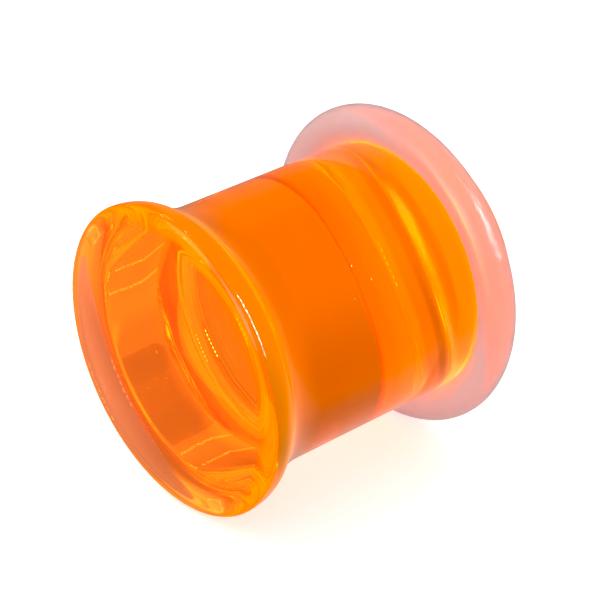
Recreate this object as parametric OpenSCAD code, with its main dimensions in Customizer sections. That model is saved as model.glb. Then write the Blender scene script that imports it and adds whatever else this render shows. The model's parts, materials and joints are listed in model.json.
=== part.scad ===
// Single-flare ear plug: a solid acrylic barrel with one flared, flat-faced end. A soft O-ring in a
// shallow seat near the plain end keeps it in a stretched lobe. It lies on its side as it comes to
// rest by itself, on the rim of the flare and on the O-ring, with its front face towards -Y.

/* [Barrel] */
// Diameter of the barrel, which is the gauge of the plug
barrel_d = 12.7; // [8:0.1:20]
// Length from the front face to the back face
plug_l = 15.8; // [12:0.1:20]
// Radius that breaks the edge of the back face
back_edge_r = 0.2; // [0.05:0.05:0.5]

/* [Flare] */
// Height of the flare's rim above the barrel
flare_h = 1.175; // [0.8:0.025:2]
// Width of the rounding between the front face and the rim, measured on the face
face_round_w = 0.95; // [0.2:0.05:2]
// Depth of the same rounding, measured along the axis
face_round_l = 0.38; // [0.2:0.02:0.8]
// Height of the rounding behind the rim
rim_round_h = 0.6; // [0.3:0.05:0.7]
// Length of the rounding behind the rim, measured along the axis
rim_round_l = 1.2; // [0.8:0.05:1.4]
// Angle around that rounding at which the hollow takes over
rim_blend_a = 58; // [50:1:75]

/* [O-ring] */
// Thickness of the O-ring
ring_section_d = 1.78; // [1:0.01:2.2]
// Distance from the front face to the middle of the O-ring
ring_at = 13.8; // [9:0.1:14]
// Width of the shallow seat around the barrel
seat_w = 1.26; // [0.8:0.02:1.6]
// Depth of the seat
seat_depth = 0.11; // [0.05:0.01:0.2]
// Clearance between the O-ring and the bottom of its seat
ring_gap = 0.05; // [0.02:0.01:0.1]

/* [Hidden] */
$fn = 128;

barrel_r = barrel_d / 2;
rim_r = barrel_r + flare_h;
rim_at = face_round_l;

// The hollow is an arc that leaves the rim's rounding at blend_p, square to blend_n, and meets the
// barrel without an edge. Both conditions together give its radius and its centre.
blend_p = [rim_r - rim_round_h * (1 - cos(rim_blend_a)), rim_at + rim_round_l * sin(rim_blend_a)];
blend_a = atan2(rim_round_h * sin(rim_blend_a), rim_round_l * cos(rim_blend_a));
hollow_r = (blend_p.x - barrel_r) / (1 - cos(blend_a));
hollow_c = blend_p + hollow_r * [cos(blend_a), sin(blend_a)];

// The seat is a shallow arc through its two edges on the barrel and its lowest line.
seat_r = (pow(seat_w / 2, 2) + pow(seat_depth, 2)) / (2 * seat_depth);
seat_c = [barrel_r - seat_depth + seat_r, ring_at];
seat_a = asin(seat_w / 2 / seat_r);

ring_r = ring_section_d / 2;
ring_c = [barrel_r - seat_depth + ring_gap + ring_r, ring_at];

// At rest the rim and the O-ring both touch the ground, so the axis rises towards the back.
rise_h = rim_r - ring_c.x;
rise_l = ring_at - rim_at;
rest_a = asin(ring_r / norm([rise_l, rise_h])) - atan2(rise_h, rise_l);
axis_z = ring_c.x * cos(rest_a) - ring_at * sin(rest_a) + ring_r;

// Foremost and rearmost points of the tilted plug along Y, measured from the middle of its front face
face_c = [rim_r - face_round_w, rim_at];
front_y = face_c.y * cos(rest_a) - face_c.x * sin(rest_a)
        - norm([face_round_w * sin(rest_a), face_round_l * cos(rest_a)]);
back_c = [barrel_r - back_edge_r, plug_l - back_edge_r];
back_y = back_c.y * cos(rest_a) + back_c.x * sin(rest_a) + back_edge_r;

// Points of an ellipse's arc about c, from angle a0 to a1, without its first point
function arc(c, rx, ry, a0, a1, steps) = [
    for (i = [1 : steps])
        let (a = a0 + (a1 - a0) * i / steps)
        [c.x + rx * cos(a), c.y + ry * sin(a)]
];

// Half outline of the plug, as distance from the axis and distance behind the front face
function plug_outline() = concat(
    [[0, 0], [face_c.x, 0]],
    arc(face_c, face_round_w, face_round_l, -90, 0, 14),
    arc([rim_r - rim_round_h, rim_at], rim_round_h, rim_round_l, 0, rim_blend_a, 10),
    arc(hollow_c, hollow_r, hollow_r, 180 + blend_a, 180, 14),
    [[barrel_r, ring_at - seat_w / 2]],
    arc(seat_c, seat_r, seat_r, 180 + seat_a, 180 - seat_a, 8),
    [[barrel_r, back_c.y]],
    arc(back_c, back_edge_r, back_edge_r, 0, 90, 5),
    [[0, plug_l]]
);

// Lays what is turned about +Z on its side, at its resting tilt, in the middle of the ground
module laid() {
    translate([0, -(front_y + back_y) / 2, axis_z])
        rotate([rest_a - 90, 0, 0])
            children();
}

module flared_plug() {
    color("darkorange")
        laid()
            rotate_extrude()
                polygon(plug_outline());
}

module o_ring() {
    color("lightsalmon")
        laid()
            translate([0, 0, ring_at])
                rotate_extrude()
                    translate([ring_c.x, 0])
                        circle(r = ring_r);
}

flared_plug();
o_ring();
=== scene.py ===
import json
import math

import bmesh
import bpy
from mathutils import Matrix, Vector


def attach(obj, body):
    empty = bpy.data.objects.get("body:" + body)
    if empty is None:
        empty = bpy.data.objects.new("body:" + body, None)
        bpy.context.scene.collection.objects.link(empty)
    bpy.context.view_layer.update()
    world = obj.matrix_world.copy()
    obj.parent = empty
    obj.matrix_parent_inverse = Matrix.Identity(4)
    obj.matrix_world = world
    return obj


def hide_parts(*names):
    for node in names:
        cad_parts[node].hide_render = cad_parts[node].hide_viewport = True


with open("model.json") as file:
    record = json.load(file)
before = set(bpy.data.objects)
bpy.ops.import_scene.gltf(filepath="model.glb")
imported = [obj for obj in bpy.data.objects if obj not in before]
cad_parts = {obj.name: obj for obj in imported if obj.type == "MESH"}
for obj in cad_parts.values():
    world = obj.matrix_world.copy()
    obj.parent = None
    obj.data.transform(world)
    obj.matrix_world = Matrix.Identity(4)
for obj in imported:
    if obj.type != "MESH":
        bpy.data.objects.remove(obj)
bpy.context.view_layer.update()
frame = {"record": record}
print("frame loaded")

# The plug's own frame: z runs along its axis from the middle of the front face to the back
mm = 0.001
mounts = {mount["name"]: mount for mount in frame["record"]["mounts"]}
faceMiddle = Vector(mounts["front_face"]["pos_m"])
plugAxis = Vector(mounts["back_face"]["axis"]).normalized()
plugUp = plugAxis.cross(Vector((1, 0, 0))).normalized() * -1
plugSide = plugUp.cross(plugAxis)
toPart = Matrix.Translation(faceMiddle) @ Matrix((plugSide, plugUp, plugAxis)).transposed().to_4x4()
barrelR = mounts["lobe_seat"]["dims"]["r_mm"] / 1000
plugLength = (Vector(mounts["back_face"]["pos_m"]) - faceMiddle).length

# Turned meshes
turned = {
    "mergeWithin": 1e-8,  # joins the points that meet on the axis
    "sharpDeg": 35,  # edges that bend more than this stay crisp
}


def arcPoints(centre, radii, startDeg, endDeg, steps):
    # The points of an arc after its first one, for an outline that already ends there
    points = []
    for i in range(1, steps + 1):
        angle = math.radians(startDeg + (endDeg - startDeg) * i / steps)
        points.append((centre[0] + radii[0] * math.cos(angle), centre[1] + radii[1] * math.sin(angle)))
    return points


def linkObject(name, data):
    obj = bpy.data.objects.new(name, data)
    bpy.context.scene.collection.objects.link(obj)
    return obj


def lathe(name, outline, segments, closed):
    # Turns an outline of (radius, z) points about the plug's axis
    bm = bmesh.new()
    rings = []
    for j in range(segments):
        turn = 2 * math.pi * j / segments
        points = [Vector((radius * math.cos(turn), radius * math.sin(turn), z)) for radius, z in outline]
        rings.append([bm.verts.new(toPart @ point) for point in points])
    count = len(outline)
    spans = count if closed else count - 1
    for j in range(segments):
        near, far = rings[j], rings[(j + 1) % segments]
        for i in range(spans):
            k = (i + 1) % count
            bm.faces.new((near[i], far[i], far[k], near[k]))
    bmesh.ops.remove_doubles(bm, verts=bm.verts, dist=turned["mergeWithin"])
    bmesh.ops.recalc_face_normals(bm, faces=bm.faces)
    mesh = bpy.data.meshes.new(name)
    bm.to_mesh(mesh)
    bm.free()
    obj = linkObject(name, mesh)
    mesh.shade_smooth()
    mesh.set_sharp_from_angle(angle=math.radians(turned["sharpDeg"]))
    return obj


class Nodes:
    # Short words for building a node tree
    def __init__(self, tree):
        tree.nodes.clear()
        self.tree = tree

    def add(self, kind, inputs, **settings):
        # An input is a number or colour for the socket, or the socket that it is linked to
        node = self.tree.nodes.new(kind)
        for key, value in settings.items():
            setattr(node, key, value)
        for key, value in inputs.items():
            if isinstance(value, bpy.types.NodeSocket):
                self.tree.links.new(value, node.inputs[key])
            else:
                node.inputs[key].default_value = value
        return node

    def place(self, kind):
        return self.add("ShaderNodeTexCoord", {}).outputs[kind]

    def work(self, operation, *values):
        return self.add("ShaderNodeMath", dict(enumerate(values)), operation=operation).outputs[0]

    def vectorWork(self, operation, *values):
        node = self.add("ShaderNodeVectorMath", dict(enumerate(values)), operation=operation)
        return node.outputs["Value" if operation in ("DOT_PRODUCT", "LENGTH") else "Vector"]

    def between(self, value, low, high, atLow=0.0, atHigh=1.0, blend="LINEAR"):
        ranges = {"Value": value, "From Min": low, "From Max": high, "To Min": atLow, "To Max": atHigh}
        return self.add("ShaderNodeMapRange", ranges, interpolation_type=blend).outputs[0]

    def noise(self, place, scale, detail):
        inputs = {"Vector": place, "Scale": scale, "Detail": detail}
        return self.add("ShaderNodeTexNoise", inputs).outputs[0]

    def mixNumbers(self, factor, low, high):
        # A Mix node keeps its two numbers in sockets 2 and 3
        return self.add("ShaderNodeMix", {0: factor, 2: low, 3: high}).outputs[0]

    def mixColors(self, factor, low, high):
        # and its two colours in sockets 6 and 7, with the mixed colour as its third output
        return self.add("ShaderNodeMix", {0: factor, 6: low, 7: high}, data_type="RGBA").outputs[2]


def newMaterial(name):
    material = bpy.data.materials.new(name)
    material.use_nodes = True
    return material, Nodes(material.node_tree)


# Camera: upright, at the photo's angle to the plug
camera = {
    "azimuth": 49.51,
    "elevation": 27.82,
    "lens": 128.9,
    "sensor": 36,
    "distance": 15.191 * barrelR,
    "facePixel": (165.1, 365.3),  # where the middle of the front face shows
    "imageSize": 600,
    "clip": (0.005, 10),
}


def makeCamera(spec):
    data = bpy.data.cameras.new("camera")
    data.lens = spec["lens"]
    data.sensor_width = spec["sensor"]
    data.clip_start, data.clip_end = spec["clip"]
    obj = linkObject("camera", data)
    obj.rotation_euler = (math.radians(90 - spec["elevation"]), 0, math.radians(spec["azimuth"]))
    perPixel = spec["sensor"] / spec["lens"] / spec["imageSize"]
    across, down = ((pixel - spec["imageSize"] / 2) * perPixel for pixel in spec["facePixel"])
    toFace = obj.rotation_euler.to_matrix() @ (Vector((across, -down, -1)) * spec["distance"])
    obj.location = faceMiddle - toFace
    bpy.context.scene.camera = obj
    return obj


cameraObj = makeCamera(camera)

# Directions for lights and cards: a turn about the plug's axis, zero on the side away from the
# camera, and a rise towards the front of the plug. World up is at a turn of about 126 degrees.
forward = cameraObj.rotation_euler.to_matrix() @ Vector((0, 0, -1))
awayAxis = (forward - plugAxis * forward.dot(plugAxis)).normalized()
sideAxis = plugAxis.cross(awayAxis)


def skyDirection(turnDeg, riseDeg):
    turn, rise = math.radians(turnDeg), math.radians(riseDeg)
    outward = awayAxis * math.cos(turn) + sideAxis * math.sin(turn)
    return outward * math.cos(rise) - plugAxis * math.sin(rise)


# Plug: the same outline as the solid, finer, so that light bends through it cleanly
plug = {
    "rimHeight": 1.175 * mm,
    "faceRound": (0.95 * mm, 0.38 * mm),  # across and along, from the face out to the rim
    "rimRound": (0.6 * mm, 1.2 * mm),  # across and along, from the rim back to the hollow
    "blendDeg": 58,  # how far the rim's round runs before the hollow takes over
    "backEdge": 0.2 * mm,
    "seatWidth": 1.26 * mm,
    "seatDepth": 0.11 * mm,
    "seatAt": 13.8 * mm,
    "steps": {"face": 40, "rim": 24, "hollow": 36, "seat": 16, "back": 12},
    "segments": 320,
}


def plugOutline(spec):
    steps = spec["steps"]
    rimR = barrelR + spec["rimHeight"]
    faceW, faceL = spec["faceRound"]
    roundH, roundL = spec["rimRound"]
    # the hollow is an arc that leaves the rim's round smoothly and ends on the barrel
    blend = math.radians(spec["blendDeg"])
    blendPoint = Vector((rimR - roundH * (1 - math.cos(blend)), faceL + roundL * math.sin(blend)))
    normal = Vector((roundL * math.cos(blend), roundH * math.sin(blend))).normalized()
    normalDeg = math.degrees(math.atan2(normal.y, normal.x))
    hollowR = (blendPoint.x - barrelR) / (1 - normal.x)
    hollow = blendPoint + normal * hollowR
    halfSeat = spec["seatWidth"] / 2
    seatR = (halfSeat**2 + spec["seatDepth"] ** 2) / (2 * spec["seatDepth"])
    seat = (barrelR - spec["seatDepth"] + seatR, spec["seatAt"])
    seatDeg = math.degrees(math.asin(halfSeat / seatR))
    seatStart = spec["seatAt"] - halfSeat
    edge = spec["backEdge"]
    outline = [(0, 0), ((rimR - faceW) / 2, 0), (rimR - faceW, 0)]
    outline += arcPoints((rimR - faceW, faceL), (faceW, faceL), -90, 0, steps["face"])
    outline += arcPoints((rimR - roundH, faceL), (roundH, roundL), 0, spec["blendDeg"], steps["rim"])
    outline += arcPoints(hollow, (hollowR, hollowR), 180 + normalDeg, 180, steps["hollow"])
    outline += [(barrelR, (hollow.y + seatStart) / 2), (barrelR, seatStart)]
    outline += arcPoints(seat, (seatR, seatR), 180 + seatDeg, 180 - seatDeg, steps["seat"])
    outline += [(barrelR, plugLength - edge)]
    outline += arcPoints((barrelR - edge, plugLength - edge), (edge, edge), 0, 90, steps["back"])
    outline += [((barrelR - edge) / 2, plugLength), (0, plugLength)]
    return outline


# Neon acrylic: clear orange, with a painted glow in place of the dye's fluorescence, and painted light by
# the seat and the lip
acrylic = {
    "ior": 1.49,
    "roughness": 0.0,
    "tint": (1.0, 0.23, 0.16, 1),
    "absorbColor": (1.0, 0.91, 0.0, 1),
    "absorbPerBarrel": 1.1,
    "paintedGlowColor": (1.0, 0.08, 0.0, 1),  # painted orange glow in place of the dye's fluorescence, with its strength below
    "glow": 0.1,
    "paintedSeatLightColor": (1.0, 0.5, 0.0, 1),  # painted light by the ring's seat, with its strength below
    "paintedSeatLight": 0.6,
    "seatGlowFrom": 12.0 * mm,
    "seatGlowTo": 15.45 * mm,
    # where along that stretch, how strong the painted light is above, and how strong on the side towards
    # the floor, as painted floor bounce
    "seatGlowSteps": [
        (0.0, 0.0, 0.0),
        (0.06, 0.3, 0.2),
        (0.13, 0.32, 0.8),
        (0.25, 0.33, 0.85),
        (0.35, 0.45, 0.9),
        (0.44, 0.9, 1.0),
        (0.75, 0.9, 0.95),
        (0.83, 0.6, 0.6),
        (0.94, 0.6, 0.6),
        (1.0, 0.0, 0.0),
    ],
    "floorSideFrom": 6.5 * mm,  # heights between which the painted light changes to the painted floor bounce
    "floorSideTo": 4.5 * mm,
    "paintedEdgeGlow": 0.16,  # painted glow at the flare's lip
    "edgeGlowFrom": 6.5 * mm,  # distances from the axis
    "edgeGlowTo": 7.3 * mm,
    "waveScale": 700,  # faint waves from polishing
    "waveDetail": 1.0,
    "waveHeight": 0.006 * mm,
    "speckScale": 5200,  # rare dull specks
    "speckDetail": 0.0,
    "speckFrom": 0.79,
    "speckBlend": 0.05,
    "speckRoughness": 0.25,
}


def paintedAcrylicGlow(spec, nodes, place):
    # Colour and strength of the painted glow, by place along the plug, out from its axis and over the
    # floor
    offset = nodes.vectorWork("SUBTRACT", place, tuple(faceMiddle))
    depth = nodes.vectorWork("DOT_PRODUCT", offset, tuple(plugAxis))
    radius = nodes.vectorWork("LENGTH", nodes.vectorWork("CROSS_PRODUCT", offset, tuple(plugAxis)))
    height = nodes.add("ShaderNodeSeparateXYZ", {0: place}).outputs["Z"]
    along = nodes.between(depth, spec["seatGlowFrom"], spec["seatGlowTo"])
    ramp = nodes.add("ShaderNodeValToRGB", {"Fac": along})
    ramp.color_ramp.interpolation = "EASE"
    stops = ramp.color_ramp.elements
    while len(stops) < len(spec["seatGlowSteps"]):
        stops.new(0.5)
    for stop, (position, above, below) in zip(stops, spec["seatGlowSteps"]):
        stop.position = position
        stop.color = (above, below, 0, 1)  # red carries the level above, green the one below
    levels = nodes.add("ShaderNodeSeparateColor", {0: ramp.outputs[0]}).outputs
    # painted floor bounce: the painted seat light changes on the side towards the floor
    floorSide = nodes.between(height, spec["floorSideFrom"], spec["floorSideTo"], blend="SMOOTHSTEP")
    seat = nodes.mixNumbers(floorSide, levels[0], levels[1])
    # painted glow at the flare's lip
    edge = nodes.between(radius, spec["edgeGlowFrom"], spec["edgeGlowTo"], blend="SMOOTHSTEP")
    color = nodes.mixColors(nodes.work("MAXIMUM", seat, edge), spec["paintedGlowColor"], spec["paintedSeatLightColor"])
    seatLevel = nodes.mixNumbers(seat, spec["glow"], spec["paintedSeatLight"])
    return color, nodes.mixNumbers(edge, seatLevel, spec["paintedEdgeGlow"])


def acrylicMaterial(spec):
    material, nodes = newMaterial("neonAcrylic")
    place = nodes.place("Object")
    # painted glow in place of the dye's fluorescence, with painted light by the seat and the lip
    paintedGlowColor, glowStrength = paintedAcrylicGlow(spec, nodes, place)
    wave = nodes.noise(place, spec["waveScale"], spec["waveDetail"])
    bump = nodes.add("ShaderNodeBump", {"Height": wave, "Distance": spec["waveHeight"]})
    speck = nodes.noise(place, spec["speckScale"], spec["speckDetail"])
    speckTo = spec["speckFrom"] + spec["speckBlend"]
    rough = nodes.between(speck, spec["speckFrom"], speckTo, spec["roughness"], spec["speckRoughness"])
    surface = nodes.add(
        "ShaderNodeBsdfPrincipled",
        {
            "Base Color": spec["tint"],
            "Normal": bump.outputs[0],
            "Roughness": rough,
            "IOR": spec["ior"],
            "Transmission Weight": 1.0,
            "Emission Color": paintedGlowColor,
            "Emission Strength": glowStrength,
        },
    )
    volume = nodes.add(
        "ShaderNodeVolumeAbsorption",
        {"Color": spec["absorbColor"], "Density": spec["absorbPerBarrel"] / barrelR},
    )
    nodes.add("ShaderNodeOutputMaterial", {"Surface": surface.outputs[0], "Volume": volume.outputs[0]})
    return material


plugObj = lathe("plugBody", plugOutline(plug), plug["segments"], closed=False)
plugObj.data.materials.append(acrylicMaterial(acrylic))
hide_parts("flared_plug")
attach(plugObj, "root")
print("plug made")

# O-ring: soft milky silicone, a little clear of its seat
ring = {"sectionR": 0.89 * mm, "gap": 0.05 * mm, "steps": 64, "segments": 256}
silicone = {
    "color": (0.85, 0.49, 0.42, 1),
    "darkColor": (0.79, 0.43, 0.36, 1),
    "mottleScale": 1400,
    "mottleDetail": 4.0,
    "milk": (0.25, 0.6, 1.0, 1),  # painted pale glow in the milky body
    "paintedMilkGlow": 0.09,
    "scatter": 2.2 * mm,
    "scatterShares": (1.0, 0.6, 0.5),  # red light goes deeper than green and blue
    "roughness": 0.28,
    "clear": 0.72,
    "gloss": 0.8,
    "glossRoughness": 0.4,
    "ior": 1.41,
}


def ringOutline(spec):
    centreR = barrelR - plug["seatDepth"] + spec["gap"] + spec["sectionR"]
    return arcPoints((centreR, plug["seatAt"]), (spec["sectionR"],) * 2, 0, 360, spec["steps"])


def siliconeMaterial(spec):
    material, nodes = newMaterial("pinkSilicone")
    mottle = nodes.noise(nodes.place("Object"), spec["mottleScale"], spec["mottleDetail"])
    surface = nodes.add(
        "ShaderNodeBsdfPrincipled",
        {
            "Base Color": nodes.mixColors(mottle, spec["darkColor"], spec["color"]),
            # painted pale glow in the milky body
            "Emission Color": spec["milk"],
            "Emission Strength": spec["paintedMilkGlow"],
            "Roughness": spec["roughness"],
            "Transmission Weight": spec["clear"],
            "Coat Weight": spec["gloss"],
            "Coat Roughness": spec["glossRoughness"],
            "Subsurface Weight": 1.0,
            "Subsurface Radius": spec["scatterShares"],
            "Subsurface Scale": spec["scatter"],
            "IOR": spec["ior"],
        },
    )
    nodes.add("ShaderNodeOutputMaterial", {"Surface": surface.outputs[0]})
    return material


ringObj = lathe("ringBody", ringOutline(ring), ring["segments"], closed=True)
ringObj.data.materials.append(siliconeMaterial(silicone))
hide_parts("o_ring")
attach(ringObj, "root")
print("ring made")

# Floor: pale, with a light of its own that keeps it near white
floor = {"size": 4, "color": (0.93, 0.93, 0.93, 1), "roughness": 0.9, "glow": 0.46}


def makeFloor(spec):
    half = spec["size"] / 2
    corners = [(-half, -half, 0), (half, -half, 0), (half, half, 0), (-half, half, 0)]
    mesh = bpy.data.meshes.new("floor")
    mesh.from_pydata(corners, [], [(0, 1, 2, 3)])
    material, nodes = newMaterial("paleFloor")
    surface = nodes.add(
        "ShaderNodeBsdfPrincipled",
        {
            "Base Color": spec["color"],
            "Roughness": spec["roughness"],
            "Specular IOR Level": 0.0,
            "Emission Color": (1, 1, 1, 1),
            "Emission Strength": spec["glow"],
        },
    )
    nodes.add("ShaderNodeOutputMaterial", {"Surface": surface.outputs[0]})
    mesh.materials.append(material)
    obj = linkObject("floor", mesh)
    obj.visible_transmission = False  # the plug and the ring show the studio's surround alone
    obj.visible_glossy = False


# Studio: a soft white surround in three layers. The soft light on all things is plain, what the
# plug and the ring show through themselves is seenThrough, and what they reflect is mirrored.
# A light has a turn and a rise, half angles where it is full and where it ends, and what it adds.
# Cards and strips have half widths across the plug's axis and along it, and strips may be dashed.
studio = {
    "stripEnd": 1.2,  # a strip fades out at this many half widths
    "dash": (-0.4, 0.2),  # where on the dashes' sine wave they begin and are full
    "plain": {
        "base": 0.95,
        "lights": [{"turn": 18, "rise": -10, "full": 20, "end": 70, "add": 4}],  # from behind the plug
        "cards": [],
        "strips": [],
    },
    "seenThrough": {
        "base": 0.6,
        "lights": [
            {"turn": -160, "rise": 80, "full": 54, "end": 120, "add": 0.9},  # wide, before the face
            {"turn": -85, "rise": -25, "full": 24, "end": 52, "add": 0.4},  # low, towards the back
            {"turn": 100, "rise": 0, "full": 10, "end": 38, "add": 0.8},  # from above
            {"turn": 120, "rise": 25, "full": 8, "end": 34, "add": 0.25},  # above, towards the front
            {"turn": -140, "rise": -46, "full": 10, "end": 34, "add": 0.15},  # low on the near side
            {"turn": -27, "rise": 42, "full": 26, "end": 42, "add": 0.4},  # far side, towards the front
            {"turn": 0, "rise": -30, "full": 26, "end": 42, "add": 0.2},  # far side, towards the back
            {"turn": 36, "rise": -42, "full": 3, "end": 32, "add": -0.26},  # dims the barrel's low side
            {"turn": 15, "rise": 34, "full": 8, "end": 26, "add": -0.7},  # dims the band by the ring
            # three bright ones make the arc of light in front of the ring
            {"turn": -40, "rise": 77, "full": 6, "end": 16, "add": 13},
            {"turn": 50, "rise": 78, "full": 4, "end": 18, "add": 7},
            {"turn": 90, "rise": 60, "full": 6, "end": 19, "add": 9},
        ],
        # the darker field in the face
        "cards": [{"turn": 157, "rise": -33, "half": (0.75, 0.32), "soft": 0.02, "gain": 0.67}],
        # two pairs of fine lines in the face, then the dashed arcs in its middle
        "strips": [
            {"turn": turn, "rise": -18, "half": (0.018, 0.4), "pitch": (0, 0.0036), "add": 2.0}
            for turn in (-103, -81, 81, 103)
        ]
        + [{"turn": 180, "rise": -33, "half": (0.18, 0.034), "pitch": (0.06, 0), "add": 16}],
    },
    "mirrored": {
        "base": 0.22,
        "lights": [
            {"turn": 0, "rise": 34, "full": 10, "end": 40, "add": 0.3},  # on the flat face
            {"turn": -50, "rise": -38, "full": 10, "end": 50, "add": 0.3},  # low on the barrel
            {"turn": 84, "rise": 54, "full": 10, "end": 26, "add": 1.5},  # on the ring's top
            {"turn": 150, "rise": 78, "full": 6, "end": 20, "add": 3.5},  # on the ring's near side
        ],
        "cards": [],
        # two dashed rows on the flare's lip, then two long lines on its top
        "strips": [
            {"turn": 180, "rise": rise, "half": (0.34, 0.018), "pitch": (0.06, 0), "add": 120}
            for rise in (-32, -18)
        ]
        + [
            {"turn": turn, "rise": 0, "half": (0.012, 0.55), "pitch": (0, 0), "add": 4}
            for turn in (103, 80)
        ],
    },
}


def makeWorld(spec):
    world = bpy.data.worlds.new("surround")
    bpy.context.scene.world = world
    world.use_nodes = True
    nodes = Nodes(world.node_tree)
    ray = nodes.place("Generated")

    def along(axis):
        return nodes.vectorWork("DOT_PRODUCT", ray, tuple(axis))

    def soft(value, low, high, atLow=0.0, atHigh=1.0):
        return nodes.between(value, low, high, atLow, atHigh, blend="SMOOTHSTEP")

    def patch(middle, halves, ends, pitches):
        # One inside a four-sided patch of the sky, zero outside and between its dashes
        side = plugAxis.cross(middle).normalized()
        depth = along(middle)
        inside = nodes.work("GREATER_THAN", depth, 0.0)
        for axis, half, end, pitch in zip((side, side.cross(middle)), halves, ends, pitches):
            offset = nodes.work("DIVIDE", along(axis), depth)
            within = soft(nodes.work("ABSOLUTE", offset), half, end, 1.0, 0.0)
            inside = nodes.work("MULTIPLY", inside, within)
            if pitch:
                wave = nodes.work("SINE", nodes.work("MULTIPLY", offset, 2 * math.pi / pitch))
                inside = nodes.work("MULTIPLY", inside, soft(wave, *spec["dash"]))
        return inside

    def surround(layer):
        level = layer["base"]
        for light in layer["lights"]:
            near = along(skyDirection(light["turn"], light["rise"]))
            full, end = (math.cos(math.radians(light[key])) for key in ("full", "end"))
            level = nodes.work("ADD", soft(near, end, full, 0.0, light["add"]), level)
        for card in layer["cards"]:
            ends = [half + card["soft"] for half in card["half"]]
            inside = patch(skyDirection(card["turn"], card["rise"]), card["half"], ends, (0, 0))
            level = nodes.work("MULTIPLY", soft(inside, 0.0, 1.0, 1.0, card["gain"]), level)
        for strip in layer["strips"]:
            ends = [half * spec["stripEnd"] for half in strip["half"]]
            inside = patch(skyDirection(strip["turn"], strip["rise"]), strip["half"], ends, strip["pitch"])
            level = nodes.work("MULTIPLY_ADD", inside, strip["add"], level)
        return nodes.add("ShaderNodeBackground", {"Color": (1, 1, 1, 1), "Strength": level}).outputs[0]

    plain, seenThrough, mirrored = (surround(spec[name]) for name in ("plain", "seenThrough", "mirrored"))
    path = nodes.add("ShaderNodeLightPath", {}).outputs
    glossy, through = path["Is Glossy Ray"], path["Is Transmission Ray"]
    mirrors = nodes.work("GREATER_THAN", nodes.work("SUBTRACT", glossy, through), 0.5)
    clear = nodes.work("MAXIMUM", glossy, through)
    inPieces = nodes.add("ShaderNodeMixShader", {0: mirrors, 1: seenThrough, 2: mirrored}).outputs[0]
    background = nodes.add("ShaderNodeMixShader", {0: clear, 1: plain, 2: inPieces}).outputs[0]
    nodes.add("ShaderNodeOutputWorld", {"Surface": background})


# Picture: plain colours with a touch less blue in the darks, and many bounces for the clear plug
picture = {"transform": "Standard", "blackLevel": (0, 0, 0.04), "bounces": 20, "glossyBounces": 12}


def setPicture(spec):
    scene = bpy.context.scene
    scene.view_settings.view_transform = spec["transform"]
    scene.view_settings.use_curve_mapping = True
    scene.view_settings.curve_mapping.black_level = spec["blackLevel"]
    scene.cycles.max_bounces = spec["bounces"]
    scene.cycles.transmission_bounces = spec["bounces"]
    scene.cycles.glossy_bounces = spec["glossyBounces"]


makeFloor(floor)
makeWorld(studio)
setPicture(picture)
print("studio made")
